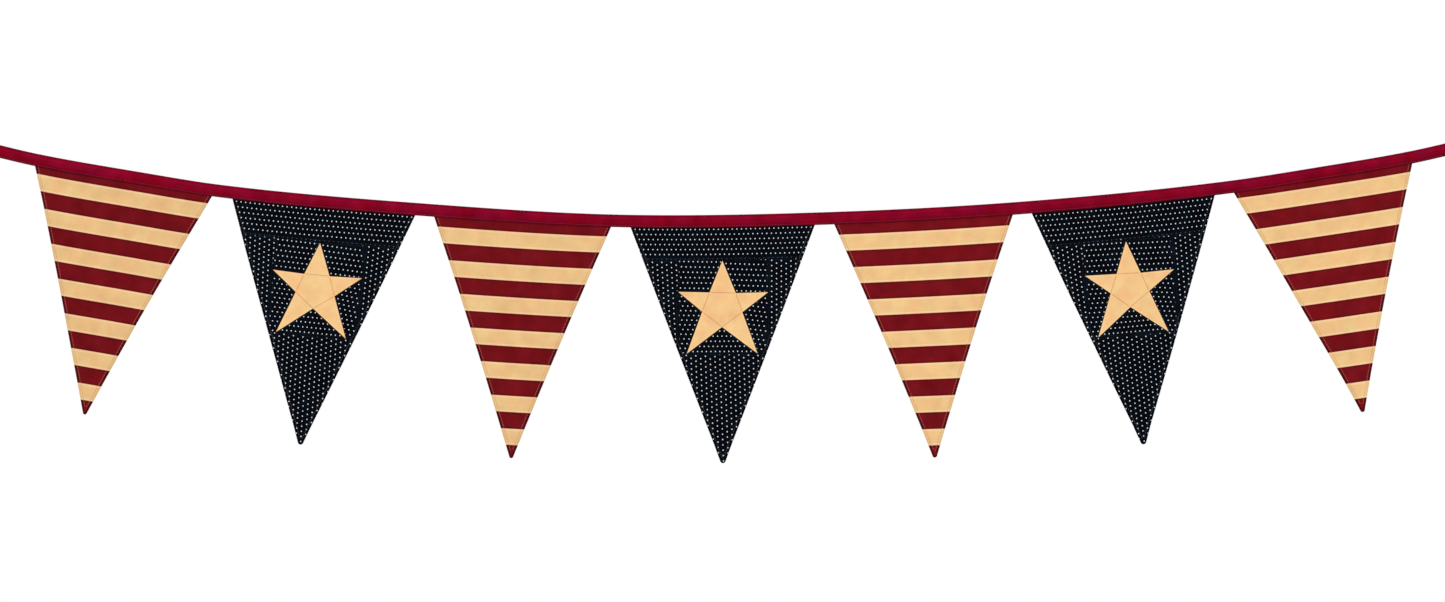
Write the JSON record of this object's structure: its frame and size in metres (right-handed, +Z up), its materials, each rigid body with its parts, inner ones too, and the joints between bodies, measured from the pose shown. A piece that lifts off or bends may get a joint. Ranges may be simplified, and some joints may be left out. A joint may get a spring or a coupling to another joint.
{
  "type": "bunting",
  "caption": "Cloth bunting: striped and starred triangular flags hanging from a folded binding tape in a shallow sag.",
  "frame": {"origin": "on the top edge of the binding tape at midspan, in the tape's middle plane", "axes": "+X along the line to the right seen from the front, +Z up, -Y the way the flags' front faces look"},
  "size_m": [1.55, 0.0127, 0.3396],
  "materials": {
    "crimson_binding": "plain-woven cotton tape, matte",
    "striped_cotton": "plain-woven cotton with dark red and tan stripes, matte",
    "dotted_cotton": "plain-woven navy cotton with white pin dots, matte",
    "tan_cotton": "plain-woven tan cotton, matte"
  },
  "bodies": {
    "root": {"binding_tape": "crimson_binding", "flag_1_striped": "striped_cotton", "flag_2_starred": "dotted_cotton", "flag_3_striped": "striped_cotton", "flag_4_starred": "dotted_cotton", "flag_5_striped": "striped_cotton", "flag_6_starred": "dotted_cotton", "flag_7_striped": "striped_cotton", "star_2": "tan_cotton", "star_4": "tan_cotton", "star_6": "tan_cotton"}
  },
  "joints": []
}
